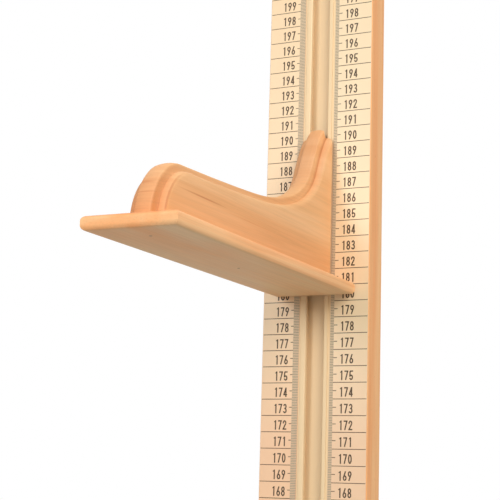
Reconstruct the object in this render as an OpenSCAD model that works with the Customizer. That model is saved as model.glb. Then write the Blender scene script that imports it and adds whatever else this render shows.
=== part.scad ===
// Wall height rod: a wooden board with a slotted guide rail, two scale strips and a sliding headpiece.
// The wall is the plane Y = 0, the front faces -Y, Z is up and X runs to the right across the board.

/* [Backboard] */
// Width of the board
board_w = 70.4; // [60:0.1:90]
// Thickness of the board
board_t = 21; // [19:0.5:28]
// Height of the board
board_h = 1590; // [1500:1:1900]
// Bevel along the front edges of the board
board_bevel = 0.4; // [0.2:0.1:1.5]

/* [Scale strips] */
// Thickness of a scale strip
strip_t = 0.3; // [0.2:0.05:0.5]
// Bare board between a strip and the bevelled edge of the board
strip_margin = 0.1; // [0.1:0.1:3]
// Bare board above and below a strip
strip_end_margin = 10; // [2:1:30]

/* [Guide rail] */
// Overall width of the rail
rail_w = 20.4; // [20:0.1:24]
// Height of the rail face above the board
rail_proud = 0.6; // [0.4:0.1:2]
// Width of the slot in the rail face
slot_w = 11.4; // [10.8:0.1:12.5]
// Thickness of the lips beside the slot
lip_t = 2.6; // [2.4:0.1:4]
// Width of the low ledge along the outer edge of each lip
ledge_w = 1.5; // [0.8:0.1:1.8]
// Depth of that ledge below the rail face
ledge_d = 0.6; // [0.2:0.1:0.8]
// Radius of the lip edge at the slot
lip_round = 1; // [0.4:0.1:1.4]
// Width of the channel behind the lips
channel_w = 17; // [15.5:0.1:17.4]
// Depth of the channel behind the lips
channel_d = 3.4; // [3.2:0.1:5]
// Thickness of the rail floor
rail_floor_t = 2.4; // [2.4:0.1:3]
// Room between the rail and its groove, each side
rail_fit = 0.1; // [0.05:0.05:0.3]

/* [Fixings in the board] */
// Diameter of the wall screw holes
wall_hole_d = 5.5; // [4.5:0.1:6]
// Depth of the countersink for a wall screw
wall_sink_depth = 2.2; // [1.6:0.1:2.3]
// Distance of the end wall screw holes from the ends of the board
wall_hole_inset = 60; // [45:1:100]
// Distance of each inner wall screw hole from the third rail screw from its end of the board
inner_hole_reach = 30; // [25:1:35]
// Number of screws that hold the rail
rail_screw_count = 7; // [5:1:9]
// Distance of the end rail screws from the ends of the board
rail_screw_inset = 150; // [140:1:170]
// Shank diameter of a rail screw
rail_screw_d = 3; // [2.5:0.1:3.4]
// Head diameter of a rail screw
rail_screw_head_d = 5.8; // [5:0.1:6.4]
// Length of a rail screw
rail_screw_len = 14; // [10:1:14]

/* [Stops] */
// Length of each stop block
stop_len = 24; // [16:1:40]
// Distance of each stop from the end of the rail
stop_inset = 4; // [0:0.5:8]

/* [Headpiece place] */
// Height of the paddle underside above the bottom of the board
head_height = 1218.2; // [300:0.1:1400]
// Distance from the rail face to the back of the bracket
head_gap = 1.7; // [1.6:0.1:3]
// Distance from the rail face to the back edge of the paddle
paddle_gap = 1; // [0.6:0.1:1.4]

/* [Paddle] */
// Width of the paddle
paddle_w = 52.9; // [40:0.1:80]
// Length of the paddle
paddle_len = 225; // [222:1:240]
// Thickness of the paddle
paddle_t = 7.5; // [6.5:0.1:10]
// Radius of the rounded long and short edges of the paddle
paddle_round = 2.7; // [1:0.1:3]

/* [Bracket outline] */
// Length of the bracket along the paddle
bracket_len = 212; // [205:1:216]
// Height of the bracket at its back
bracket_h = 97; // [92:0.5:104]
// Distance from the front of the bracket to the top of its nose
nose_setback = 28.4; // [24:0.1:34]
// Height of the nose
nose_h = 31.8; // [28:0.1:34]
// Distance from the back of the bracket to the start of the rising curve
cove_reach = 97.7; // [85:0.1:110]
// Height at the start of the rising curve
cove_h = 35.7; // [34:0.1:38]
// Distance from the back of the bracket to the steep stretch
riser_reach = 19.2; // [17:0.1:21]
// Height of the steep stretch
riser_h = 67.3; // [64:0.1:70]
// Angle of the steep stretch in degrees
riser_angle = 64; // [60:1:68]
// Angle of the top where it meets the back in degrees
tip_angle = 35; // [30:1:40]

/* [Bracket moulding] */
// Width of the bracket
bracket_w = 20.6; // [19:0.1:26]
// Width of the raised ridge at its top
ridge_w = 9.8; // [7:0.1:11]
// Extra width of the ridge at its foot
ridge_spread = 1.6; // [0.8:0.1:2.4]
// Height of the ridge above the shoulders
ridge_step = 4; // [2:0.1:5]
// Height of the ridge crown above its edges
ridge_crown = 0.8; // [0.2:0.1:1.5]
// Radius of the ridge edges
ridge_round = 1.3; // [0.6:0.1:1.8]
// Radius of the outer edges of the shoulders
shoulder_round = 3; // [1:0.1:3.2]

/* [Carriage] */
// Running clearance between the carriage and the rail, each side
run_gap = 0.3; // [0.2:0.05:0.4]
// Thickness of the carriage bar
bar_t = 4; // [3.5:0.1:4.2]
// Height of the lower end of the carriage above the paddle underside
carriage_low = 9; // [8:0.1:11]
// Length of the carriage
carriage_len = 82; // [78:1:85]
// Length of each glide
glide_len = 26; // [22:1:27]
// Distance of a carriage screw from the inner end of its glide
carriage_screw_inset = 9; // [8:0.5:10]
// Distance of a glide screw from the outer end of its glide
glide_screw_inset = 6; // [5:0.5:7]

/* [Brake] */
// Thickness of the leaf spring
spring_t = 0.4; // [0.3:0.05:0.45]
// Width of the leaf spring
spring_w = 9; // [6:0.5:9.5]
// Length of each spring end that is tucked under a glide
spring_tuck = 3.5; // [2:0.5:4.5]
// Rise of the bowed spring
spring_bow = 1.5; // [1.2:0.1:1.7]
// Length of the felt pad
pad_len = 12; // [8:0.5:16]
// Width of the felt pad
pad_w = 8; // [5:0.5:9]

/* [Screws in the headpiece] */
// Shank diameter of the wood screws
wood_screw_d = 3.5; // [3:0.1:4]
// Head diameter of the wood screws
wood_screw_head_d = 7; // [6:0.1:7.6]
// Length of the wood screws
wood_screw_len = 20; // [16:1:22]
// Diameter of the panel pins that fix the bracket to the paddle
pin_d = 1.6; // [1.2:0.1:2]
// Length of the panel pins
pin_len = 25; // [18:1:26]
// Distance from the front of the bracket to the front pin
front_pin_inset = 9.4; // [8.5:0.1:12]
// Shank diameter of the glide screws
glide_screw_d = 3; // [2.5:0.1:3]
// Head diameter of the glide screws
glide_screw_head_d = 5.6; // [5:0.1:6]
// Length of the glide screws
glide_screw_len = 6; // [5:0.5:6]

/* [Hidden] */
$fn = 64;

// Cut bodies reach this far past the faces they open
past = 1;
// Radial room between a screw and its hole, and between fixed blocks and the rail
screw_fit = 0.1;
block_fit = 0.1;
// Radial room between a pin and its hole
pin_fit = 0.05;
// Room beyond the point of a screw in a blind hole
point_room = 0.6;
// Room between the spring and what holds it
spring_fit = 0.1;
// Length of the point of a screw and the diameter of its tip
point_len = 3;
point_d = 0.8;

// Planes across the depth, from the front to the wall
board_face_y = -board_t;
rail_face_y = board_face_y - rail_proud;
ledge_y = rail_face_y + ledge_d;
lip_back_y = rail_face_y + lip_t;
channel_floor_y = lip_back_y + channel_d;
rail_back_y = channel_floor_y + rail_floor_t;
bracket_back_y = rail_face_y - head_gap;
bar_back_y = bracket_back_y + bar_t;
flange_front_y = lip_back_y + run_gap;
flange_back_y = channel_floor_y - run_gap;
paddle_back_y = rail_face_y - paddle_gap;

// Sizes of what runs in the slot and in the channel
neck_w = slot_w - 2 * run_gap;
flange_w = channel_w - 2 * run_gap;

// Places along the height of the board
wall_hole_outer_z = [wall_hole_inset, board_h - wall_hole_inset];
rail_screw_pitch = (board_h - 2 * rail_screw_inset) / (rail_screw_count - 1);
rail_screw_z = [for (i = [0:rail_screw_count - 1]) rail_screw_inset + i * rail_screw_pitch];
inner_hole_inset = rail_screw_z[2] - inner_hole_reach;
wall_hole_inner_z = [inner_hole_inset, board_h - inner_hole_inset];
wall_hole_z = concat(wall_hole_outer_z, wall_hole_inner_z);
bottom_stop_z = stop_inset;
top_stop_z = board_h - stop_inset - stop_len;
stop_screw_z = [bottom_stop_z + stop_len / 2, top_stop_z + stop_len / 2];

// Places along the height of the headpiece
bracket_z = head_height + paddle_t;
lower_glide_z = head_height + carriage_low;
upper_glide_z = lower_glide_z + carriage_len - glide_len;
carriage_screw_z = [lower_glide_z + glide_len - carriage_screw_inset,
                    upper_glide_z + carriage_screw_inset];
glide_screw_z = [lower_glide_z + glide_screw_inset, upper_glide_z + glide_len - glide_screw_inset];
pin_y = [bracket_back_y - bracket_len + front_pin_inset, bracket_back_y - bracket_len / 2];

// Free stretch of the spring between the glides, and the count of facets in a full turn of its arc
spring_mid_z = lower_glide_z + carriage_len / 2;
spring_span = carriage_len - 2 * glide_len;
spring_radius = (pow(spring_span / 2, 2) + pow(spring_bow, 2)) / (2 * spring_bow);
spring_front_y = bar_back_y + spring_fit;
arc_facets = 180;

// Bracket outline, as points behind its front end and above the paddle
nose_slope = 0.03;
cove_slope = 0.07;
base_point = [-bracket_len, 0];
nose_point = [-bracket_len + nose_setback, nose_h];
cove_point = [-cove_reach, cove_h];
riser_point = [-riser_reach, riser_h];
tip_point = [0, bracket_h];
riser_dir = [cos(riser_angle), sin(riser_angle)];
tip_dir = [cos(tip_angle), sin(tip_angle)];
nose_dir = [1, nose_slope];
cove_dir = [1, cove_slope];
// Reach of the curve handles at each end of the four stretches
base_pull = 15;
nose_pull = 16;
back_pull = 25;
cove_pull = 25;
riser_pull = 27;
crest_pull = 12;
tip_pull = 10;
nose_steps = 20;
back_steps = 8;
cove_steps = 26;
crest_steps = 12;

function bezier(p, t) = pow(1 - t, 3) * p[0] + 3 * pow(1 - t, 2) * t * p[1]
    + 3 * (1 - t) * pow(t, 2) * p[2] + pow(t, 3) * p[3];
function bezier_slope(p, t) = 3 * pow(1 - t, 2) * (p[1] - p[0])
    + 6 * (1 - t) * t * (p[2] - p[1]) + 3 * pow(t, 2) * (p[3] - p[2]);
function unit(v) = v / norm(v);
// The inward normal of a curve that runs from the nose over the top to the back
function inward(v) = [unit(v)[1], -unit(v)[0]];

nose_curve = [base_point, base_point + [0, base_pull], nose_point - nose_pull * nose_dir, nose_point];
back_curve = [nose_point, nose_point + back_pull * nose_dir, cove_point - back_pull * cove_dir, cove_point];
cove_curve = [cove_point, cove_point + cove_pull * cove_dir, riser_point - riser_pull * riser_dir, riser_point];
crest_curve = [riser_point, riser_point + crest_pull * riser_dir, tip_point - tip_pull * tip_dir, tip_point];

// Stations along the outline, each a point and the direction that leads one millimetre deeper.
// That is the inward normal, but over the crest it leans more and more until it is upright at the back.
function stations(curve, steps) = [for (i = [0:steps - 1])
    [bezier(curve, i / steps), inward(bezier_slope(curve, i / steps))]];
function leaning_stations(curve, steps) = [for (i = [0:steps])
    let (slope = bezier_slope(curve, i / steps))
    [bezier(curve, i / steps), inward(slope) - i / steps * tan(tip_angle) * unit(slope)]];
outline = concat(stations(nose_curve, nose_steps), stations(back_curve, back_steps),
                 stations(cove_curve, cove_steps), leaning_stations(crest_curve, crest_steps));

// Half of the moulding section from the crown outwards, as distance from the middle and depth
crown_steps = 3;
round_steps = 4;
edge_x = ridge_w / 2;
foot_x = edge_x + ridge_spread / 2;
side_x = bracket_w / 2;
foot_fillet = 0.3;
crown_edge_x = edge_x - ridge_round;
crown_drop = ridge_crown * pow(crown_edge_x / edge_x, 2);
half_section = concat(
    [for (i = [1:crown_steps])
        [crown_edge_x * i / crown_steps, -ridge_crown + crown_drop * pow(i / crown_steps, 2)]],
    [for (i = [1:round_steps])
        [crown_edge_x + ridge_round * sin(90 * i / round_steps),
         ridge_round - (ridge_round + ridge_crown - crown_drop) * cos(90 * i / round_steps)]],
    [[foot_x, ridge_step - foot_fillet], [foot_x + foot_fillet, ridge_step]],
    [for (i = [0:round_steps])
        [side_x - shoulder_round + shoulder_round * sin(90 * i / round_steps),
         ridge_step + shoulder_round - shoulder_round * cos(90 * i / round_steps)]]);
half_count = len(half_section);
section = concat([for (i = [half_count - 1:-1:0]) [-half_section[i][0], half_section[i][1]]],
                 [[0, -ridge_crown]], half_section);

// The section of a flat board, with the long edges of one face bevelled
module beveled_plate(w, h, bevel) {
    polygon([[-w / 2, 0], [w / 2, 0], [w / 2, h - bevel], [w / 2 - bevel, h],
             [-w / 2 + bevel, h], [-w / 2, h - bevel]]);
}

// A rectangle with round corners, centred across and standing on the axis
module round_rect(w, h, r) {
    translate([-w / 2 + r, 0]) square([w - 2 * r, h]);
    translate([-w / 2, r]) square([w, h - 2 * r]);
    for (x = [-w / 2 + r, w / 2 - r])
        for (y = [r, h - r])
            translate([x, y]) circle(r);
}

// A countersunk screw with its head face at the origin, driven along +Z
module screw(d, len, head_d) {
    cylinder(h = (head_d - d) / 2, d1 = head_d, d2 = d);
    cylinder(h = len - point_len, d = d);
    translate([0, 0, len - point_len]) cylinder(h = point_len, d1 = d, d2 = point_d);
}

// The hole for such a screw, open past its head
module screw_hole(d, len, head_d) {
    translate([0, 0, -past]) cylinder(h = past, d = head_d + 2 * screw_fit);
    cylinder(h = (head_d - d) / 2, d1 = head_d + 2 * screw_fit, d2 = d + 2 * screw_fit);
    cylinder(h = len + point_room, d = d + 2 * screw_fit);
}

// Turns something modelled along +Z so that it points from the channel to the wall
module to_wall() {
    rotate([-90, 0, 0]) children();
}

// Turns something modelled along +Z so that it points from the channel to the front
module to_front() {
    rotate([90, 0, 0]) children();
}

module place_rail_screws() {
    for (z = rail_screw_z)
        translate([0, channel_floor_y, z]) to_wall() children();
}

module place_stop_screws() {
    for (z = stop_screw_z)
        translate([0, rail_face_y, z]) to_wall() children();
}

module place_paddle_pins() {
    for (y = pin_y)
        translate([0, y, head_height]) children();
}

module place_carriage_screws() {
    for (z = carriage_screw_z)
        translate([0, flange_back_y, z]) to_front() children();
}

module place_glide_screws() {
    for (z = glide_screw_z)
        translate([0, flange_back_y, z]) to_front() children();
}

module wood_screw() {
    screw(wood_screw_d, wood_screw_len, wood_screw_head_d);
}

module wood_screw_hole() {
    screw_hole(wood_screw_d, wood_screw_len, wood_screw_head_d);
}

// A headless panel pin, its end flush with the underside of the paddle
module pin() {
    cylinder(h = pin_len - pin_d, d = pin_d);
    translate([0, 0, pin_len - pin_d]) cylinder(h = pin_d, d1 = pin_d, d2 = pin_d / 4);
}

module pin_hole() {
    translate([0, 0, -past]) cylinder(h = pin_len + past + point_room, d = pin_d + 2 * pin_fit);
}

// The four wall screw holes, countersunk in the rail floor and open through the board
module wall_holes() {
    for (z = wall_hole_z)
        translate([0, channel_floor_y, z]) to_wall() {
            translate([0, 0, -past]) cylinder(h = board_t + 2 * past, d = wall_hole_d);
            cylinder(h = wall_sink_depth, d1 = wall_hole_d + 2 * wall_sink_depth, d2 = wall_hole_d);
        }
}

module backboard() {
    groove_w = rail_w + 2 * rail_fit;
    color("#E5B27D")
    difference() {
        linear_extrude(board_h)
            difference() {
                mirror([0, 1]) beveled_plate(board_w, board_t, board_bevel);
                translate([-groove_w / 2, board_face_y - past])
                    square([groove_w, rail_back_y - board_face_y + past]);
            }
        wall_holes();
        place_rail_screws() screw_hole(rail_screw_d, rail_screw_len, rail_screw_head_d);
        place_stop_screws() wood_screw_hole();
    }
}

// One lip of the rail: a ledge along its outer edge and a round edge at the slot
module lip_profile() {
    lip_w = (rail_w - slot_w) / 2;
    translate([slot_w / 2, 0]) {
        translate([lip_round, rail_face_y]) square([lip_w - ledge_w - lip_round, lip_t]);
        translate([0, rail_face_y + lip_round]) square([lip_w - ledge_w, lip_t - lip_round]);
        translate([lip_round, rail_face_y + lip_round]) circle(lip_round);
        translate([0, ledge_y + lip_round]) square([lip_w, lip_t - ledge_d - lip_round]);
        translate([lip_w - ledge_w - past, ledge_y]) square([ledge_w + past, lip_t - ledge_d]);
    }
}

module guide_rail() {
    wall_t = (rail_w - channel_w) / 2;
    color("#EBD9BB")
    difference() {
        linear_extrude(board_h) {
            lip_profile();
            mirror([1, 0]) lip_profile();
            for (x = [-rail_w / 2, rail_w / 2 - wall_t])
                translate([x, ledge_y]) square([wall_t, rail_back_y - ledge_y]);
            translate([-rail_w / 2, channel_floor_y]) square([rail_w, rail_floor_t]);
        }
        wall_holes();
        place_rail_screws() screw_hole(rail_screw_d, rail_screw_len, rail_screw_head_d);
        place_stop_screws() wood_screw_hole();
    }
}

module scale_strip() {
    inner_x = rail_w / 2 + rail_fit;
    outer_x = board_w / 2 - board_bevel - strip_margin;
    translate([inner_x, board_face_y - strip_t, strip_end_margin])
        cube([outer_x - inner_x, strip_t, board_h - 2 * strip_end_margin]);
}

module scale_right() {
    color("#F7E6C3") scale_strip();
}

module scale_left() {
    color("#F7E6C3") mirror([1, 0, 0]) scale_strip();
}

module rail_screws() {
    color("#B9B6AE") place_rail_screws() screw(rail_screw_d, rail_screw_len, rail_screw_head_d);
}

// A T shaped block that fills the channel and the slot
module stop_block(z) {
    stop_neck_w = slot_w - 2 * block_fit;
    stop_flange_w = channel_w - 2 * block_fit;
    color("#3A3835")
    difference() {
        translate([0, 0, z]) linear_extrude(stop_len) {
            translate([-stop_flange_w / 2, lip_back_y + block_fit])
                square([stop_flange_w, channel_d - block_fit]);
            translate([-stop_neck_w / 2, rail_face_y])
                square([stop_neck_w, lip_t + channel_d]);
        }
        place_stop_screws() wood_screw_hole();
    }
}

module top_stop() {
    stop_block(top_stop_z);
}

module bottom_stop() {
    stop_block(bottom_stop_z);
}

module stop_screws() {
    color("#B9B6AE") place_stop_screws() wood_screw();
}

// The paddle is rounded top and bottom along all four edges, and its upright corners stay crisp
module head_paddle() {
    color("#E2B183")
    difference() {
        translate([0, paddle_back_y - paddle_len / 2, head_height])
            intersection() {
                rotate([90, 0, 0])
                    translate([0, 0, -paddle_len / 2])
                        linear_extrude(paddle_len) round_rect(paddle_w, paddle_t, paddle_round);
                rotate([90, 0, 90])
                    translate([0, 0, -paddle_w / 2])
                        linear_extrude(paddle_w) round_rect(paddle_len, paddle_t, paddle_round);
            }
        place_paddle_pins() pin_hole();
    }
}

// The moulding section swept along the outline: a crowned ridge that stands between two shoulders
module bracket_sweep() {
    columns = len(section);
    rows = len(outline);
    skin = [for (s = outline) for (p = section)
        [p[0], s[0][0] + p[1] * s[1][0], s[0][1] + p[1] * s[1][1]]];
    left_corner = len(skin);
    right_corner = left_corner + 1;
    // The sweep is closed by two flat sides, a flat base and a flat back. Each starts at a corner
    // that sees all of its face, because the face is filled as a fan from there.
    points = concat(skin, [[-side_x, 0, 0], [side_x, 0, 0]]);
    strip_faces = [for (r = [0:rows - 2]) for (c = [0:columns - 2])
        let (a = r * columns + c, b = a + columns)
        each [[a, b, b + 1], [a, b + 1, a + 1]]];
    back_first = (rows - 1) * columns;
    left_face = concat([left_corner], [for (r = [rows - 1:-1:0]) r * columns]);
    right_face = concat([right_corner], [for (r = [0:rows - 1]) r * columns + columns - 1]);
    base_face = concat([left_corner], [for (c = [0:columns - 1]) c], [right_corner]);
    back_face = concat([right_corner], [for (c = [columns - 1:-1:0]) back_first + c], [left_corner]);
    polyhedron(points, concat(strip_faces, [left_face, right_face, base_face, back_face]));
}

module bracket() {
    color("#E4A873")
    difference() {
        translate([0, bracket_back_y, bracket_z]) bracket_sweep();
        place_paddle_pins() pin_hole();
        place_carriage_screws() wood_screw_hole();
    }
}

module paddle_pins() {
    color("#8A6A4A") place_paddle_pins() pin();
}

module carriage_bar() {
    color("#C9C9C4")
    difference() {
        translate([-neck_w / 2, bracket_back_y, lower_glide_z])
            cube([neck_w, bar_t, carriage_len]);
        place_carriage_screws() wood_screw_hole();
        place_glide_screws() screw_hole(glide_screw_d, glide_screw_len, glide_screw_head_d);
    }
}

// A T shaped glide: a neck in the slot and a flange behind the lips, open for the spring at one end
module glide(z, tuck_z) {
    tuck_w = spring_w + 2 * spring_fit;
    color("#F1EFE6")
    difference() {
        translate([0, 0, z]) linear_extrude(glide_len) {
            translate([-neck_w / 2, bar_back_y])
                square([neck_w, flange_back_y - bar_back_y]);
            translate([-flange_w / 2, flange_front_y])
                square([flange_w, flange_back_y - flange_front_y]);
        }
        translate([-tuck_w / 2, bar_back_y - past, tuck_z])
            cube([tuck_w, past + spring_t + 2 * spring_fit, spring_tuck + spring_fit + past]);
        place_carriage_screws() wood_screw_hole();
        place_glide_screws() screw_hole(glide_screw_d, glide_screw_len, glide_screw_head_d);
    }
}

module upper_glide() {
    glide(upper_glide_z, upper_glide_z - past);
}

module lower_glide() {
    glide(lower_glide_z, lower_glide_z + glide_len - spring_tuck - spring_fit);
}

module carriage_screws() {
    color("#B9B6AE") place_carriage_screws() wood_screw();
}

module glide_screws() {
    color("#B9B6AE") place_glide_screws() screw(glide_screw_d, glide_screw_len, glide_screw_head_d);
}

// The spring seen from the side: two flat ends and a shallow arc bowed towards the channel floor
module spring_profile() {
    arc_back = spring_bow + spring_t;
    for (side = [-1, 1])
        translate([0, side * (spring_span / 2 + spring_tuck / 2)])
            translate([0, -spring_tuck / 2]) square([spring_t, spring_tuck]);
    intersection() {
        translate([arc_back - spring_radius - spring_t, 0])
            difference() {
                circle(spring_radius + spring_t, $fn = arc_facets);
                circle(spring_radius, $fn = arc_facets);
            }
        translate([0, -spring_span / 2]) square([arc_back + past, spring_span]);
    }
}

module brake_spring() {
    color("#8E9297")
    translate([-spring_w / 2, spring_front_y, spring_mid_z])
        rotate([90, 0, 90])
            linear_extrude(spring_w) spring_profile();
}

// The felt pad fits the back of the spring and stops short of the channel floor
module brake_pad() {
    arc_centre_y = spring_front_y + spring_bow - spring_radius;
    color("#5B5A52")
    difference() {
        translate([-pad_w / 2, spring_front_y + spring_bow, spring_mid_z - pad_len / 2])
            cube([pad_w, flange_back_y - spring_front_y - spring_bow, pad_len]);
        translate([-pad_w / 2 - past, arc_centre_y, spring_mid_z])
            rotate([0, 90, 0])
                cylinder(h = pad_w + 2 * past, r = spring_radius + spring_t, $fn = arc_facets);
    }
}

backboard();
guide_rail();
scale_left();
scale_right();
rail_screws();
top_stop();
bottom_stop();
stop_screws();
head_paddle();
bracket();
paddle_pins();
carriage_bar();
upper_glide();
lower_glide();
carriage_screws();
glide_screws();
brake_spring();
brake_pad();
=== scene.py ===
"""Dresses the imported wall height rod: beech grain, anodised rail, printed scales, screw recesses
and a studio stage."""

import math

import bpy
import mathutils
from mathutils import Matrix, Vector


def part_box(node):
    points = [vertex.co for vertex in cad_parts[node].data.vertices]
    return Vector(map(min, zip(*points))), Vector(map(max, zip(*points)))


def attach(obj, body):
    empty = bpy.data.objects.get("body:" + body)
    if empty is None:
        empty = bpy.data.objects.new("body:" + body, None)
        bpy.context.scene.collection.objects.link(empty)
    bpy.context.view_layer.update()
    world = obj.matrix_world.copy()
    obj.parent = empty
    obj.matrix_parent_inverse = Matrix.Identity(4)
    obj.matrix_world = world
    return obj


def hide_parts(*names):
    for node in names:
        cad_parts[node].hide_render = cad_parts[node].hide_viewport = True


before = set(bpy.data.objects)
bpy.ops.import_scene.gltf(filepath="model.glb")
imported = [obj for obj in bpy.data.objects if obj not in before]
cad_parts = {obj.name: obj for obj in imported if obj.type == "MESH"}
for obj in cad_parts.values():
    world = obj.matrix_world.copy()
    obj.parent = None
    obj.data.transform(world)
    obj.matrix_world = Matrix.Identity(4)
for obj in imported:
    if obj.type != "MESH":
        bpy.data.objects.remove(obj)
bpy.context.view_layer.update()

bl_info = {
    "name": "Wall Height Rod",
    "version": (1, 0, 0),
    "blender": (4, 5, 0),
    "location": "3D View > Sidebar > Height Rod",
    "description": "Builds the looks of a wooden wall-mounted height rod around its CAD frame",
    "category": "Object",
}

MM = 0.001

# The camera stands where the photograph was taken from, low and to the right of the headpiece. Its
# place is in metres, its angles are in radians, and its lens and sensor are in millimetres.
CAMERA_PLACE = (0.3132955, -0.7646602, 1.1004971)
CAMERA_YAW = 0.44987733
CAMERA_PITCH = 0.17874952
CAMERA_ROLL = -0.02905326
CAMERA_LENS = 94.858
CAMERA_SENSOR = 36
CAMERA_NEAR = 50 * MM

# The lamps, as place and width in metres: a small soft key in front, low and a little to the left,
# a front fill above it, a wide light high on the right, and one behind for views of the back. All
# aim at the headpiece.
KEY_LIGHT = ((-0.5, -1.4, 1.55), 0.5)
FRONT_LIGHT = ((0.1, -1.5, 2.0), 0.9)
SIDE_LIGHT = ((1.1, -0.97, 1.9), 1.0)
BACK_LIGHT = ((-0.2, 1.6, 1.7), 1.0)
LIGHT_AIM = (0.0, -0.05, 1.2)

# The floor, a disc just under the foot of the board, in metres
FLOOR_RADIUS = 2.5
FLOOR_SIDES = 96
FLOOR_DROP = 0.5 * MM

# Beech grain, as pattern cells in millimetres across X, Y and Z: soft bands, growth lines and ray
# flecks. Each is longest along the grain. Growth lines lie about 1 mm apart, and a ray fleck on a
# planed board is 1 to 3 mm long.
BOARD_GRAIN = ((60, 9, 170), (12, 0.9, 60), (1.4, 0.6, 2.8))
PADDLE_GRAIN = ((24, 170, 9), (1.3, 60, 0.8), (0.5, 2.6, 0.5))
BRACKET_GRAIN = ((60, 170, 9), (14, 50, 0.9), (2.5, 2.5, 0.5))

# What lacquer does to the end grain of the bracket, at the nose and the riser
END_TONE = "#F2E9E9"

# The riser of the bracket, where the surface crosses the growth rings and they show upright: an
# oval as for the marks below, and the cell of the growth lines there, in millimetres
RISER = ((0, 0, 1330), (60, 62, 68), 0.25)
RISER_LINES = (2.0, 30, 40)

# Marks are single features of a plank or film, or painted shade: ovals with their centre and half
# size in millimetres, the share of that half size that is a soft edge, and a tone to multiply by.
# The first ones are painted shade, darker tones laid in the steps of the moulding, on both sides:
# all along, up the riser, round the nose and on its shoulders.
STEP_SHADE = (
    ((5.4, -125, 1275), (1.2, 400, 400), 0.6, "#F4ECE4"),
    ((6.0, -22, 1300), (0.8, 60, 70), 0.7, "#E2D0C0"),
    ((5.4, -236, 1235), (1.3, 40, 45), 0.6, "#EEE4DC"),
    ((9.6, -236, 1245), (0.6, 26, 40), 0.7, "#E2CDBE"),
)
# The bracket's marks: the painted shade in its steps, on both sides, then its own features
BRACKET_MARKS_AND_SHADE = tuple(((side * x, y, z), *rest)
                      for (x, y, z), *rest in STEP_SHADE for side in (1, -1)) + (
    # Slightly darker and warmer low down, towards the paddle
    ((0, -110, 1216), (200, 400, 33), 0.07, "#FBF2E9"),
    # A thin dark streak on the right side, and where it fades
    ((10, -192, 1243.4), (4, 30, 0.6), 0.8, "#E2C6B2"),
    ((10, -140, 1241.5), (4, 34, 0.5), 0.9, "#F3E6DC"),
    # Two growth rings across the nose
    ((-2, -236, 1244.3), (8, 9, 1.1), 0.6, "#E6CDBD"),
    ((0, -236, 1238.6), (12, 9, 0.45), 0.8, "#E9D2C3"),
)
PADDLE_MARKS_AND_SHADE = (
    # Painted shade: the underside, greyed and cooled to its colour in shadow
    ((0, -135, 1214.8), (300, 600, 4.2), 0.15, "#E4F2FF"),
    # End grain low on the front edge
    ((0, -247.6, 1226), (300, 3, 1.7), 0.6, "#EFD2BC"),
)
FILM_SHADE = (
    # Painted shade: the stretch below the headpiece, around the height of a head, toned darker and
    # pinker than the rest
    ((0, -21, 1070), (300, 300, 130), 0.55, "#FAEBEA"),
)

# Cross recesses for the driver, in millimetres: the front of the screw heads, their heights and
# the span of the cross, and the width and depth of its arms and the share of them left at their
# inner end
RAIL_SCREWS = (-15.6, range(150, 1441, 215), 3.0)
STOP_SCREWS = (-21.6, (16, 1574), 3.6)
RECESS_WIDTH = 0.85
RECESS_DEPTH = 1.3
RECESS_TAPER = 0.6

# The columns of each scale, as distances in millimetres from the middle of the board: where the
# millimetre marks end, where the short marks end, and the right edge of the numbers. The
# millimetre marks start at the same distance on both sides.
LEFT_COLUMNS = (14.2, 15.9, 17.5)
RIGHT_COLUMNS = (12.75, 15.0, 25.7)
FINE_START = 10.4

# Places up the scale, in millimetres: from one number to the next, how far the millimetre marks go
# past the first and the last number, and how far below a number's mark are its rule and the foot
# of its figures. The rules end a little way inside the edge of the film.
NUMBER_PITCH = 10
FINE_BELOW = 9
FINE_ABOVE = 8
RULE_BELOW = 5
FIGURES_BELOW = 3.7
FILM_MARGIN = 0.25

# Printed figures, in millimetres. A figure is narrow and upright, and is drawn with bars and rings
# of one stroke width from the middle of its foot. Bowls are shares of its height and width.
# Strokes lie one above the other by a layer, so that no two faces coincide.
FIGURE_W = 2.5
FIGURE_H = 5.8
FIGURE_STROKE = 0.8
BOWL_HEIGHT = 0.58
UPPER_BOWL_WIDTH = 0.92
STROKE_LAYER = 0.003
RING_SIDES = 14

# How near the corners of a CAD node's triangles lie when they are one corner
MERGE_GAP = 0.002 * MM

# Settings of a Mix node that multiplies one colour by another, and its colour output
MULTIPLY = {"data_type": "RGBA", "blend_type": "MULTIPLY", "output": 2}


# Colour and node helpers

def linear(code):
    """An sRGB hex code as a linear colour."""
    parts = [int(code[i:i + 2], 16) / 255 for i in (1, 3, 5)]
    return (*(c / 12.92 if c <= 0.04045 else ((c + 0.055) / 1.055) ** 2.4 for c in parts), 1.0)


def shaded(code, factor):
    """An sRGB hex code as a linear colour, with its light times a factor."""
    return (*(c * factor for c in linear(code)[:3]), 1.0)


def grey(value):
    """A linear grey."""
    return (value, value, value, 1.0)


def add(tree, kind, inputs=None, output=0, stops=(), **settings):
    """Adds a node with its settings and links, and gives one of its outputs. An input is a value,
    or a socket that is linked to it. Stops are the two (position, colour) ends of a colour
    ramp."""
    node = tree.nodes.new(kind)
    for name, value in settings.items():
        setattr(node, name, value)
    for name, value in (inputs or {}).items():
        if isinstance(value, bpy.types.NodeSocket):
            tree.links.new(value, node.inputs[name])
        else:
            node.inputs[name].default_value = value
    if stops:
        for element, (position, colour) in zip(node.color_ramp.elements, stops):
            element.position = position
            element.color = colour
    return node.outputs[output] if node.outputs else None


def new_material(name):
    """An empty node material and its tree."""
    material = bpy.data.materials.new(name)
    material.use_nodes = True
    material.node_tree.nodes.clear()
    return material, material.node_tree


def finished(material, inputs):
    """The material, with a Principled shader of these inputs as its surface."""
    shader = add(material.node_tree, "ShaderNodeBsdfPrincipled", inputs)
    add(material.node_tree, "ShaderNodeOutputMaterial", {"Surface": shader})
    return material


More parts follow.
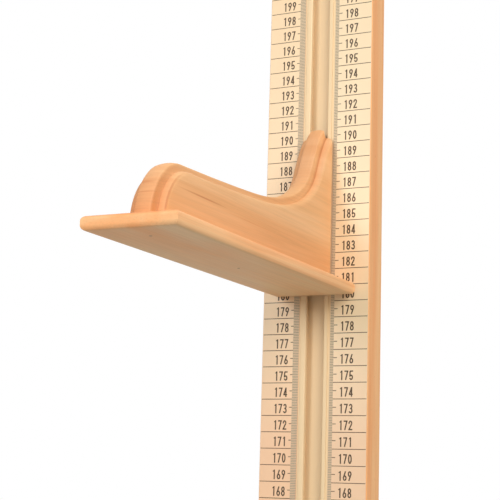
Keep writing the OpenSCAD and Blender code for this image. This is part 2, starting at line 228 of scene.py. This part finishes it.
def cells(tree, size, shift=(0.0, 0.0, 0.0)):
    """Object coordinates counted in pattern cells of so many millimetres each way."""
    return add(tree, "ShaderNodeMapping", {
        "Vector": add(tree, "ShaderNodeTexCoord", output="Object"), "Location": shift,
        "Scale": [1 / (side * MM) for side in size]})


def pattern(tree, size, detail=2.0, roughness=0.5, distortion=0.0):
    """A noise with cells of so many millimetres each way."""
    return add(tree, "ShaderNodeTexNoise", {
        "Vector": cells(tree, size), "Scale": 1.0, "Detail": detail, "Roughness": roughness,
        "Distortion": distortion})


def spot(tree, centre, half_size, edge):
    """1 inside an oval, and falling to 0 in its soft edge. Its centre and its half size each way
    are in millimetres, and the edge is a share of the half size."""
    place = cells(tree, half_size, [-middle / half for middle, half in zip(centre, half_size)])
    reach = add(tree, "ShaderNodeVectorMath", {0: place}, output="Value", operation="LENGTH")
    return add(tree, "ShaderNodeMapRange", {
        "Value": reach, "From Min": 1.0, "From Max": 1.0 - edge})


def marked(tree, colour, marks):
    """The colour with single features laid over it."""
    for centre, half_size, edge, tone in marks:
        amount = spot(tree, centre, half_size, edge)
        colour = add(tree, "ShaderNodeMix", {0: amount, 6: colour, 7: linear(tone)}, **MULTIPLY)
    return colour


# Materials

def beech(name, pale, deep, grain, fleck_tone=0.92, marks=(), riser=None, end_tone=None):
    """Steamed beech under satin lacquer: an even pinkish tan with soft bands, fine growth lines
    that can just be felt, and short dark ray flecks. The growth lines of a riser have another
    cell. End grain, here across Y, drinks more lacquer and is darker."""
    material, tree = new_material(name)
    band_cell, line_cell, fleck_cell = grain
    bands = pattern(tree, band_cell, detail=3.0, roughness=0.55, distortion=0.4)
    lines = pattern(tree, line_cell, roughness=0.6)
    if riser:
        place, cell = riser
        lines = add(tree, "ShaderNodeMix", {
            0: spot(tree, *place), 2: lines, 3: pattern(tree, cell, roughness=0.6)})
    flecks = pattern(tree, fleck_cell, detail=1.0)
    colour = add(tree, "ShaderNodeValToRGB", {"Fac": bands},
                 stops=((0.36, linear(pale)), (0.66, linear(deep))))
    shades = ((lines, ((0.3, grey(0.92)), (0.62, grey(1.0)))),
              (flecks, ((0.68, grey(1.0)), (0.78, grey(fleck_tone)))))
    for amount, stops in shades:
        shade = add(tree, "ShaderNodeValToRGB", {"Fac": amount}, stops=stops)
        colour = add(tree, "ShaderNodeMix", {0: 1.0, 6: colour, 7: shade}, **MULTIPLY)
    if end_tone:
        normal = add(tree, "ShaderNodeTexCoord", output="Normal")
        along = add(tree, "ShaderNodeSeparateXYZ", {"Vector": normal}, output="Y")
        facing = add(tree, "ShaderNodeMath", {0: along}, operation="ABSOLUTE")
        end = add(tree, "ShaderNodeMapRange", {"Value": facing, "From Min": 0.3, "From Max": 0.8})
        colour = add(tree, "ShaderNodeMix", {0: end, 6: colour, 7: linear(end_tone)}, **MULTIPLY)
    # The given marks go over it; for the headpiece some of them are painted shade
    colour = marked(tree, colour, marks)
    bump = add(tree, "ShaderNodeBump", {"Height": lines, "Strength": 0.12, "Distance": 0.08 * MM})
    return finished(material, {
        "Base Color": colour, "Roughness": 0.6, "IOR": 1.45, "Normal": bump})


def anodised(name, tone):
    """Champagne anodised aluminium. The thick film hides most of the metal, so it reads as a cream
    satin and not as a mirror. Faint lines run along it from the drawing die. Real ones are finer,
    and these are 0.5 mm wide so that they show."""
    material, tree = new_material(name)
    line = pattern(tree, (0.5, 0.5, 400))
    colour = add(tree, "ShaderNodeValToRGB", {"Fac": line},
                 stops=((0.3, shaded(tone, 0.97)), (0.7, linear(tone))))
    shade = add(tree, "ShaderNodeMapRange", {"Value": line, "To Min": 0.42, "To Max": 0.52})
    return finished(material, {"Base Color": colour, "Metallic": 0.1, "Roughness": shade})


def printed_film(name, tone):
    """Polyester film, printed cream: even, with a very faint mottle and a satin gloss. Below the
    headpiece it is darker and pinker: painted shade.
    """
    material, tree = new_material(name)
    mottle = pattern(tree, (6, 6, 25), detail=3.0, roughness=0.6)
    colour = add(tree, "ShaderNodeValToRGB", {"Fac": mottle},
                 stops=((0.3, shaded(tone, 0.985)), (0.7, linear(tone))))
    colour = marked(tree, colour, FILM_SHADE)
    return finished(material, {"Base Color": colour, "Roughness": 0.36, "IOR": 1.55})


def ink(name, tone):
    """Screen printing ink: flat and matt, slightly uneven in cover."""
    material, tree = new_material(name)
    cover = pattern(tree, (1.2, 1.2, 1.2))
    colour = add(tree, "ShaderNodeValToRGB", {"Fac": cover},
                 stops=((0.3, linear(tone)), (0.75, shaded(tone, 1.15))))
    return finished(material, {"Base Color": colour, "Roughness": 0.6, "IOR": 1.5})


def metal(name, tone, roughness, cell):
    """Bare or plated metal. Its finish has a cell of so many millimetres each way, long where it
    was drawn or rolled, and makes the gloss slightly uneven. A cell is coarser than the real
    finish, so that it shows."""
    material, tree = new_material(name)
    line = pattern(tree, cell, roughness=0.6)
    colour = add(tree, "ShaderNodeValToRGB", {"Fac": line},
                 stops=((0.3, shaded(tone, 0.9)), (0.7, linear(tone))))
    shade = add(tree, "ShaderNodeMapRange", {
        "Value": line, "To Min": roughness - 0.06, "To Max": roughness + 0.08})
    bump = add(tree, "ShaderNodeBump", {"Height": line, "Strength": 0.1, "Distance": 0.05 * MM})
    return finished(material, {
        "Base Color": colour, "Metallic": 1.0, "Roughness": shade, "Normal": bump})


def moulded(name, tone, roughness):
    """Moulded nylon: one colour all through, with the faint orange peel of the mould."""
    material, tree = new_material(name)
    peel = pattern(tree, (0.8, 0.8, 0.8))
    colour = add(tree, "ShaderNodeValToRGB", {"Fac": peel},
                 stops=((0.3, shaded(tone, 0.97)), (0.7, linear(tone))))
    bump = add(tree, "ShaderNodeBump", {"Height": peel, "Strength": 0.08, "Distance": 0.1 * MM})
    return finished(material, {
        "Base Color": colour, "Roughness": roughness, "IOR": 1.53, "Normal": bump})


def felt(name, tone):
    """Pressed wool felt: a dull matt of tangled fibres, with a soft sheen. Wool is 0.03 mm thick,
    and these fibres are 0.3 mm so that they show."""
    material, tree = new_material(name)
    fibre = pattern(tree, (0.3, 0.3, 0.6), detail=4.0, roughness=0.7)
    colour = add(tree, "ShaderNodeValToRGB", {"Fac": fibre},
                 stops=((0.3, shaded(tone, 0.6)), (0.7, linear(tone))))
    bump = add(tree, "ShaderNodeBump", {"Height": fibre, "Strength": 0.6, "Distance": 0.3 * MM})
    return finished(material, {
        "Base Color": colour, "Roughness": 0.95, "IOR": 1.5, "Sheen Weight": 0.4, "Normal": bump})


# Modelling helpers

def pick(*objects):
    """Selects these objects only, and makes the last one active."""
    bpy.ops.object.select_all(action="DESELECT")
    for item in objects:
        item.select_set(True)
    bpy.context.view_layer.objects.active = objects[-1]
    return objects[-1]


def edit(piece, work):
    """Does work in edit mode with the whole mesh selected."""
    pick(piece)
    bpy.ops.object.mode_set(mode="EDIT")
    bpy.ops.mesh.select_all(action="SELECT")
    work()
    bpy.ops.object.mode_set(mode="OBJECT")


def select_faces(piece, test):
    """In edit mode, selects the faces whose middle passes a test."""
    bpy.ops.object.mode_set(mode="OBJECT")
    for face in piece.data.polygons:
        face.select = test(face.center)
    bpy.ops.object.mode_set(mode="EDIT")
    bpy.ops.mesh.select_mode(type="FACE")


def apply_modifier(piece, kind, **settings):
    """Adds a modifier with its settings and applies it."""
    pick(piece)
    modifier = piece.modifiers.new(kind.title(), kind)
    for name, value in settings.items():
        setattr(modifier, name, value)
    bpy.ops.object.modifier_apply(modifier=modifier.name)


def place_applied(piece):
    """Puts the object's place into its mesh."""
    pick(piece)
    bpy.ops.object.transform_apply(location=True, rotation=True, scale=True)


def joined(parts, name):
    """Joins parts into one named piece with its place in its mesh."""
    whole = pick(*parts)
    if len(parts) > 1:
        bpy.ops.object.join()
    place_applied(whole)
    whole.name = whole.data.name = name
    return whole


def smooth_copy(node, name, angle):
    """A copy of a CAD node that stands for it, with its triangles merged and its round edges, up
    to an angle in degrees, shaded smooth."""
    piece = bpy.data.objects.new(name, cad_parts[node].data.copy())
    bpy.context.scene.collection.objects.link(piece)
    pick(piece)
    bpy.ops.mesh.customdata_custom_splitnormals_clear()
    edit(piece, lambda: bpy.ops.mesh.remove_doubles(threshold=MERGE_GAP))
    pick(piece)
    bpy.ops.object.shade_smooth_by_angle(angle=math.radians(angle))
    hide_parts(node)
    return piece


def dress(piece, material, body):
    """Gives a new piece its material, body and slot."""
    piece.data.materials.clear()
    piece.data.materials.append(material)
    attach(piece, body)


def finish_node(node, material):
    """Gives a CAD node a better material."""
    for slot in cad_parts[node].material_slots:
        slot.material = material


def recess_arm(front, height, wide, high):
    """One arm of a cross recess, in millimetres: a bar that narrows towards its inner end. Half of
    it stands out of the head."""
    bpy.ops.mesh.primitive_cube_add(size=1, location=(0, front * MM, height * MM),
                                    scale=(wide * MM, 2 * RECESS_DEPTH * MM, high * MM))
    arm = bpy.context.object
    place_applied(arm)

    def taper():
        bpy.ops.mesh.select_all(action="DESELECT")
        select_faces(arm, lambda c: c.y > (front + RECESS_DEPTH / 2) * MM)
        bpy.ops.transform.resize(value=(RECESS_TAPER, 1, RECESS_TAPER),
                                 center_override=(0, 0, height * MM))

    edit(arm, taper)
    return arm


def cut_recesses(piece, front, heights, span):
    """Cuts a cross recess for the driver into each screw head."""
    arms = [recess_arm(front, height, wide, high) for height in heights
            for wide, high in ((span, RECESS_WIDTH), (RECESS_WIDTH, span))]
    cutter = joined(arms, "cutter")
    apply_modifier(piece, "BOOLEAN", object=cutter, operation="DIFFERENCE", solver="EXACT",
                   use_self=True)
    bpy.data.objects.remove(cutter)


# Printing. Everything is drawn flat, in millimetres, and gets its thickness at the end.

def flat_bar(x0, z0, x1, z1, width=FIGURE_STROKE):
    """A flat straight stroke between two points."""
    length = math.hypot(x1 - x0, z1 - z0)
    bpy.ops.mesh.primitive_plane_add(size=1, rotation=(math.pi / 2, 0, 0))
    bar = bpy.context.object
    place_applied(bar)

    def shape():
        bpy.ops.transform.resize(value=(length * MM, 1, width * MM))
        bpy.ops.transform.rotate(value=math.atan2(z1 - z0, x1 - x0), orient_axis="Y",
                                 center_override=(0, 0, 0))
        bpy.ops.transform.translate(value=((x0 + x1) / 2 * MM, 0, (z0 + z1) / 2 * MM))

    edit(bar, shape)
    return bar


def flat_ring(x, z, width, height, gap=None):
    """A flat oval ring with its middle at a point. A gap, as its ends in degrees, is left open."""
    bpy.ops.mesh.primitive_circle_add(vertices=RING_SIDES, radius=0.5, fill_type="NGON",
                                      rotation=(math.pi / 2, 0, 0))
    ring = bpy.context.object
    place_applied(ring)

    def shape():
        bpy.ops.transform.resize(value=(width * MM, 1, height * MM))
        bpy.ops.mesh.inset(thickness=FIGURE_STROKE * MM)
        bpy.ops.mesh.delete(type="FACE")
        if gap:
            start, end = gap
            select_faces(ring, lambda c: start < math.degrees(math.atan2(c.z, c.x)) % 360 < end)
            bpy.ops.mesh.delete(type="FACE")
        bpy.ops.mesh.select_all(action="SELECT")
        bpy.ops.transform.translate(value=(x * MM, 0, z * MM))

    edit(ring, shape)
    return ring


def figure_strokes():
    """The strokes of each figure, as what draws them and their places."""
    half = FIGURE_STROKE / 2
    edge = FIGURE_W / 2
    left, right = -edge + half, edge - half
    foot, top = half, FIGURE_H - half
    bowl = BOWL_HEIGHT * FIGURE_H
    upper_bowl = FIGURE_H - bowl + FIGURE_STROKE
    low, high, upper = bowl / 2, FIGURE_H - bowl / 2, FIGURE_H - upper_bowl / 2
    upper_width = UPPER_BOWL_WIDTH * FIGURE_W
    return {
        "0": [(flat_ring, 0, FIGURE_H / 2, FIGURE_W, FIGURE_H)],
        "1": [(flat_bar, 0.2, 0, 0.2, FIGURE_H), (flat_bar, -0.75, top - 0.75, 0.1, top, 0.6)],
        "2": [(flat_ring, 0, high, FIGURE_W, bowl, (200, 340)),
              (flat_bar, right - 0.1, high - 0.4, left, foot),
              (flat_bar, -edge, foot, edge, foot)],
        "3": [(flat_ring, 0, upper, upper_width, upper_bowl, (160, 250)),
              (flat_ring, 0, low, FIGURE_W, bowl, (110, 200))],
        "4": [(flat_bar, 0.45, 0, 0.45, FIGURE_H), (flat_bar, 0.4, top, left, 1.6),
              (flat_bar, -edge, 1.45, edge, 1.45)],
        "5": [(flat_bar, left + 0.1, top, edge, top),
              (flat_bar, left + 0.2, top, left + 0.05, low + 0.6),
              (flat_ring, 0, low, FIGURE_W, bowl, (150, 215))],
        "6": [(flat_ring, 0, low, FIGURE_W, bowl),
              (flat_bar, left + 0.05, low + 0.3, 0.45, FIGURE_H - 0.1)],
        "7": [(flat_bar, -edge, top, edge, top), (flat_bar, right - 0.02, top, -0.45, 0.1)],
        "8": [(flat_ring, 0, upper, upper_width, upper_bowl), (flat_ring, 0, low, FIGURE_W, bowl)],
        "9": [(flat_ring, 0, high, FIGURE_W, bowl),
              (flat_bar, right - 0.05, high - 0.3, -0.45, 0.1)],
    }


def figure(character, strokes):
    """One figure, joined, with each stroke a little above the one before."""
    parts = [draw(*places) for draw, *places in strokes]
    for layer, part in enumerate(parts):
        part.location.y = -layer * STROKE_LAYER * MM
    return joined(parts, "figure_" + character)


def scale_line(side, x0, x1, z, width, count, pitch):
    """A flat line across one side of the scale, repeated up it."""
    line = flat_bar(side * x0, z, side * x1, z, width / MM)
    apply_modifier(line, "ARRAY", count=count, use_relative_offset=False,
                   use_constant_offset=True, constant_offset_displace=(0, 0, pitch * MM))
    return line


def scale_number(number, figures, right_edge, foot, pitch):
    """Copies of the figures of one number, from the last one leftwards."""
    copies = []
    for place, character in enumerate(reversed(str(number))):
        copy = bpy.data.objects.new("figure", figures[character].data.copy())
        bpy.context.scene.collection.objects.link(copy)
        copy.location = (right_edge - FIGURE_W / 2 * MM - place * pitch, 0, foot)
        copies.append(copy)
    return copies


def drawn_scale(sizes, figures, side, columns, rule_end):
    """The flat marks of one scale: its rules, short marks and numbers, and its millimetre
    marks."""
    fine_end, mark_end, number_edge = columns
    first, last = sizes.first_number, sizes.last_number
    count = last - first + 1
    foot = NUMBER_PITCH * first - sizes.floor_reading / MM
    fine_count = NUMBER_PITCH * (count - 1) + FINE_BELOW + FINE_ABOVE + 1
    fine = [scale_line(side, FINE_START, fine_end, foot - FINE_BELOW, sizes.fine_width,
                       fine_count, 1)]
    marks = [scale_line(side, fine_end, rule_end, foot - RULE_BELOW, sizes.rule_width,
                        count + 1, NUMBER_PITCH),
             scale_line(side, fine_end, mark_end, foot, sizes.rule_width, count, NUMBER_PITCH)]
    for number in range(first, last + 1):
        marks += scale_number(number, figures, side * number_edge * MM,
                              (NUMBER_PITCH * number - FIGURES_BELOW) * MM - sizes.floor_reading,
                              sizes.figure_pitch)
    return marks, fine


def print_piece(marks, name, material, face, thickness):
    """Joins flat marks into one piece, lays it on the face of the film and gives it thickness."""
    piece = joined(marks, name)
    edit(piece, lambda: bpy.ops.transform.translate(value=(0, face, 0)))
    apply_modifier(piece, "SOLIDIFY", thickness=thickness, offset=0)
    dress(piece, material, "board")


# Properties

class HEIGHTROD_PG_scale(bpy.types.PropertyGroup):
    """Sizes of the printed scale"""

    floor_reading: bpy.props.FloatProperty(
        name="Reading at the foot", description="Height above the floor of the foot of the board",
        default=580 * MM, unit="LENGTH")
    first_number: bpy.props.IntProperty(
        name="First number", description="Lowest printed number, in centimetres",
        default=60, min=1)
    last_number: bpy.props.IntProperty(
        name="Last number", description="Highest printed number, in centimetres",
        default=215, min=2)
    figure_pitch: bpy.props.FloatProperty(
        name="Figure pitch", description="Distance between two figures of a number",
        default=3.12 * MM, unit="LENGTH")
    rule_width: bpy.props.FloatProperty(
        name="Rule width", description="Width of the lines between two numbers",
        default=0.42 * MM, unit="LENGTH")
    fine_width: bpy.props.FloatProperty(
        name="Fine mark width", description="Width of the millimetre marks",
        default=0.7 * MM, unit="LENGTH")
    ink_thickness: bpy.props.FloatProperty(
        name="Ink thickness", description="Thickness of the printed marks",
        default=0.03 * MM, unit="LENGTH")


class HEIGHTROD_PG_colours(bpy.types.PropertyGroup):
    """Colours of the finishes, as sRGB hex codes"""

    board_pale: bpy.props.StringProperty(
        name="Board, pale", description="Pale bands of the backboard", default="#FEC487")
    board_deep: bpy.props.StringProperty(
        name="Board, deep", description="Deep bands of the backboard", default="#FBAD6A")
    bracket_pale: bpy.props.StringProperty(
        name="Bracket, pale", description="Pale bands of the bracket", default="#FAC38B")
    bracket_deep: bpy.props.StringProperty(
        name="Bracket, deep", description="Deep bands of the bracket", default="#F3B57A")
    paddle_pale: bpy.props.StringProperty(
        name="Paddle, pale", description="Pale bands of the paddle", default="#FFC88F")
    paddle_deep: bpy.props.StringProperty(
        name="Paddle, deep", description="Deep bands of the paddle", default="#FFB272")
    rail: bpy.props.StringProperty(
        name="Rail", description="Anodised guide rail", default="#EED1A4")
    # Both films are one film; the left is a little pinker, painted light from the warm headpiece
    film_left: bpy.props.StringProperty(
        name="Left film", description="Film of the left scale", default="#FCDCB0")
    film_right: bpy.props.StringProperty(
        name="Right film", description="Film of the right scale", default="#F8DEB4")
    ink: bpy.props.StringProperty(
        name="Ink", description="Printed rules and numbers", default="#4A3722")
    fine_ink: bpy.props.StringProperty(
        name="Fine ink", description="Millimetre marks, printed in a lighter tint",
        default="#AA9A80")


class HEIGHTROD_PG_stage(bpy.types.PropertyGroup):
    """Light and floor"""

    key_power: bpy.props.FloatProperty(
        name="Key light", description="Power of the small soft light in front, low on the left",
        default=5.3, min=0.0, subtype="POWER")
    front_power: bpy.props.FloatProperty(
        name="Front light", description="Power of the soft light in front and above",
        default=2.1, min=0.0, subtype="POWER")
    side_power: bpy.props.FloatProperty(
        name="Side light", description="Power of the wide soft light high on the right",
        default=17.8, min=0.0, subtype="POWER")
    back_power: bpy.props.FloatProperty(
        name="Back light", description="Power of the soft light behind",
        default=8.0, min=0.0, subtype="POWER")
    fill_above: bpy.props.FloatProperty(
        name="Fill from above", description="Strength of the even light from overhead",
        default=0.52, min=0.0, subtype="FACTOR")
    fill_below: bpy.props.FloatProperty(
        name="Fill from below", description="Strength of the even light from the horizon down",
        default=0.1, min=0.0, subtype="FACTOR")
    floor_tone: bpy.props.StringProperty(
        name="Floor", description="Colour of the floor", default="#FAF8F5")


# Operators

class HEIGHTROD_OT_backboard(bpy.types.Operator):
    """Finish the backboard in lacquered beech with upright grain"""

    bl_idname = "heightrod.backboard"
    bl_label = "Backboard"

    def execute(self, context):
        tones = context.scene.heightrod_colours
        piece = smooth_copy("backboard", "board_wood", angle=30)
        wood = beech("beech, satin lacquer, upright grain", tones.board_pale, tones.board_deep,
                     BOARD_GRAIN, fleck_tone=0.78)
        dress(piece, wood, "board")
        return {"FINISHED"}


class HEIGHTROD_OT_rail(bpy.types.Operator):
    """Finish the guide rail in champagne anodised aluminium with smooth round lips"""

    bl_idname = "heightrod.rail"
    bl_label = "Guide Rail"

    def execute(self, context):
        piece = smooth_copy("guide_rail", "rail_profile", angle=35)
        tones = context.scene.heightrod_colours
        dress(piece, anodised("anodised aluminium, champagne", tones.rail), "board")
        return {"FINISHED"}


class HEIGHTROD_OT_scales(bpy.types.Operator):
    """Print both scales: numbers, centimetre rules, short marks and millimetre marks"""

    bl_idname = "heightrod.scales"
    bl_label = "Printed Scales"

    def execute(self, context):
        sizes = context.scene.heightrod_scale
        tones = context.scene.heightrod_colours
        low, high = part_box("scale_right")
        face, rule_end = low.y, high.x / MM - FILM_MARGIN
        printing = ink("screen printing ink", tones.ink)
        tint = ink("screen printing ink, light tint", tones.fine_ink)
        figures = {character: figure(character, strokes)
                   for character, strokes in figure_strokes().items()}
        for name, side, columns, film in (("left", -1, LEFT_COLUMNS, tones.film_left),
                                          ("right", 1, RIGHT_COLUMNS, tones.film_right)):
            marks, fine = drawn_scale(sizes, figures, side, columns, rule_end)
            print_piece(marks, "print_" + name, printing, face, sizes.ink_thickness)
            print_piece(fine, "hatch_" + name, tint, face, sizes.ink_thickness)
            finish_node("scale_" + name, printed_film("printed film, " + name, film))
        for start in figures.values():
            bpy.data.objects.remove(start)
        return {"FINISHED"}


class HEIGHTROD_OT_headpiece(bpy.types.Operator):
    """Finish the paddle and the bracket in lacquered beech with grain along their length"""

    bl_idname = "heightrod.headpiece"
    bl_label = "Headpiece"

    def execute(self, context):
        tones = context.scene.heightrod_colours
        paddle = smooth_copy("head_paddle", "paddle_wood", angle=35)
        wood = beech("beech, satin lacquer, paddle", tones.paddle_pale, tones.paddle_deep,
                     PADDLE_GRAIN, marks=PADDLE_MARKS_AND_SHADE)
        dress(paddle, wood, "headpiece")
        bracket = smooth_copy("bracket", "bracket_wood", angle=32)
        wood = beech("beech, satin lacquer, bracket", tones.bracket_pale, tones.bracket_deep,
                     BRACKET_GRAIN, marks=BRACKET_MARKS_AND_SHADE, riser=(RISER, RISER_LINES),
                     end_tone=END_TONE)
        dress(bracket, wood, "headpiece")
        return {"FINISHED"}


class HEIGHTROD_OT_fittings(bpy.types.Operator):
    """Finish the screws, pins, stops, glides, bar, spring and felt pad"""

    bl_idname = "heightrod.fittings"
    bl_label = "Fittings"

    def execute(self, context):
        # Zinc plating is a pale grey with a soft shine
        zinc = metal("zinc plated steel", "#B5B3AD", roughness=0.32, cell=(0.2, 0.2, 0.2))
        for node, (front, heights, span) in (("rail_screws", RAIL_SCREWS),
                                             ("stop_screws", STOP_SCREWS)):
            piece = smooth_copy(node, node.replace("screws", "screw_steel"), angle=30)
            cut_recesses(piece, front, heights, span)
            dress(piece, zinc, "board")
        for node in ("carriage_screws", "glide_screws"):
            finish_node(node, zinc)
        # The pins are drawn wire, browned by rust, so that their ends are dull brown dots
        finish_node("paddle_pins", metal("browned pin steel", "#8A6247", roughness=0.5,
                                         cell=(0.2, 0.2, 6)))
        # The bar is drawn and left bare: silver grey, with long lines from the die
        finish_node("carriage_bar", metal("drawn aluminium bar", "#D5D3CD", roughness=0.4,
                                          cell=(0.3, 0.3, 9)))
        # The spring is rolled and blued: a cool grey with a clearer shine
        finish_node("brake_spring", metal("blued spring steel", "#8F9498", roughness=0.28,
                                          cell=(0.2, 0.2, 6)))
        nylon = moulded("natural nylon", "#F1ECDD", roughness=0.45)
        black = moulded("black nylon", "#2E2C2A", roughness=0.5)
        for node in ("upper_glide", "lower_glide"):
            finish_node(node, nylon)
        for node in ("top_stop", "bottom_stop"):
            finish_node(node, black)
        finish_node("brake_pad", felt("wool felt", "#6B675C"))
        return {"FINISHED"}


class HEIGHTROD_OT_stage(bpy.types.Operator):
    """Set the camera, the soft light, the even fill and the pale floor"""

    bl_idname = "heightrod.stage"
    bl_label = "Studio Stage"

    def execute(self, context):
        scene = context.scene
        light = scene.heightrod_stage
        scene.view_settings.view_transform = "Standard"

        turn = mathutils.Matrix.Identity(4)
        for angle, axis in ((CAMERA_YAW, "Z"), (CAMERA_PITCH, "X"), (CAMERA_ROLL, "Y"),
                            (math.pi / 2, "X")):
            turn = turn @ mathutils.Matrix.Rotation(angle, 4, axis)
        bpy.ops.object.camera_add(location=CAMERA_PLACE, rotation=turn.to_euler())
        camera = context.object
        camera.data.lens = CAMERA_LENS
        camera.data.sensor_width = CAMERA_SENSOR
        camera.data.clip_start = CAMERA_NEAR
        scene.camera = camera

        lamps = ((KEY_LIGHT, light.key_power), (FRONT_LIGHT, light.front_power),
                 (SIDE_LIGHT, light.side_power), (BACK_LIGHT, light.back_power))
        for (place, width), power in lamps:
            bpy.ops.object.light_add(type="AREA", location=place)
            lamp = context.object
            lamp.data.size = width
            lamp.data.energy = power
            aim = mathutils.Vector(LIGHT_AIM) - lamp.location
            lamp.rotation_euler = aim.to_track_quat("-Z", "Y").to_euler()

        # The world is white to the camera and in reflections. As light it is an even fill, weak
        # from the horizon down and stronger overhead.
        world = bpy.data.worlds.new("studio")
        scene.world = world
        world.use_nodes = True
        tree = world.node_tree
        tree.nodes.clear()
        camera_ray, glossy_ray, clear_ray = (
            add(tree, "ShaderNodeLightPath", output=name)
            for name in ("Is Camera Ray", "Is Glossy Ray", "Is Transmission Ray"))
        seen = add(tree, "ShaderNodeMath", {0: camera_ray, 1: glossy_ray}, operation="MAXIMUM")
        seen = add(tree, "ShaderNodeMath", {0: seen, 1: clear_ray}, operation="MAXIMUM")
        direction = add(tree, "ShaderNodeTexCoord", output="Generated")
        height = add(tree, "ShaderNodeSeparateXYZ", {"Vector": direction}, output="Z")
        level = add(tree, "ShaderNodeMapRange", {
            "Value": height, "To Min": light.fill_below, "To Max": light.fill_above})
        fill = add(tree, "ShaderNodeBackground", {"Color": grey(1.0), "Strength": level})
        white = add(tree, "ShaderNodeBackground", {"Color": grey(1.0), "Strength": 1.0})
        both = add(tree, "ShaderNodeMixShader", {0: seen, 1: fill, 2: white})
        add(tree, "ShaderNodeOutputWorld", {"Surface": both})

        bpy.ops.mesh.primitive_circle_add(vertices=FLOOR_SIDES, radius=FLOOR_RADIUS,
                                          fill_type="NGON", location=(0, 0, -FLOOR_DROP))
        floor = context.object
        floor.name = "floor"
        place_applied(floor)
        material, floor_tree = new_material("painted floor")
        mottle = pattern(floor_tree, (300, 300, 300))
        tone = light.floor_tone
        colour = add(floor_tree, "ShaderNodeValToRGB", {"Fac": mottle},
                     stops=((0.3, shaded(tone, 0.98)), (0.7, linear(tone))))
        finished(material, {"Base Color": colour, "Roughness": 0.8})
        floor.data.materials.append(material)
        return {"FINISHED"}


class HEIGHTROD_PT_panel(bpy.types.Panel):
    """Sizes, colours and steps of the height rod"""

    bl_label = "Height Rod"
    bl_space_type = "VIEW_3D"
    bl_region_type = "UI"
    bl_category = "Height Rod"

    def draw(self, context):
        for group in (context.scene.heightrod_scale, context.scene.heightrod_colours,
                      context.scene.heightrod_stage):
            box = self.layout.box()
            for name in group.__annotations__:
                box.prop(group, name)
        for operator in OPERATORS:
            self.layout.operator(operator.bl_idname)


GROUPS = (HEIGHTROD_PG_scale, HEIGHTROD_PG_colours, HEIGHTROD_PG_stage)
OPERATORS = (HEIGHTROD_OT_backboard, HEIGHTROD_OT_rail, HEIGHTROD_OT_scales,
             HEIGHTROD_OT_headpiece, HEIGHTROD_OT_fittings, HEIGHTROD_OT_stage)


def register():
    for item in (*GROUPS, *OPERATORS, HEIGHTROD_PT_panel):
        bpy.utils.register_class(item)
    bpy.types.Scene.heightrod_scale = bpy.props.PointerProperty(type=HEIGHTROD_PG_scale)
    bpy.types.Scene.heightrod_colours = bpy.props.PointerProperty(type=HEIGHTROD_PG_colours)
    bpy.types.Scene.heightrod_stage = bpy.props.PointerProperty(type=HEIGHTROD_PG_stage)


def unregister():
    del bpy.types.Scene.heightrod_stage
    del bpy.types.Scene.heightrod_colours
    del bpy.types.Scene.heightrod_scale
    for item in reversed((*GROUPS, *OPERATORS, HEIGHTROD_PT_panel)):
        bpy.utils.unregister_class(item)


def main():
    """Builds every piece and the stage."""
    register()
    bpy.ops.heightrod.backboard()
    bpy.ops.heightrod.rail()
    bpy.ops.heightrod.scales()
    bpy.ops.heightrod.headpiece()
    bpy.ops.heightrod.fittings()
    bpy.ops.heightrod.stage()


if __name__ == "__main__":
    main()
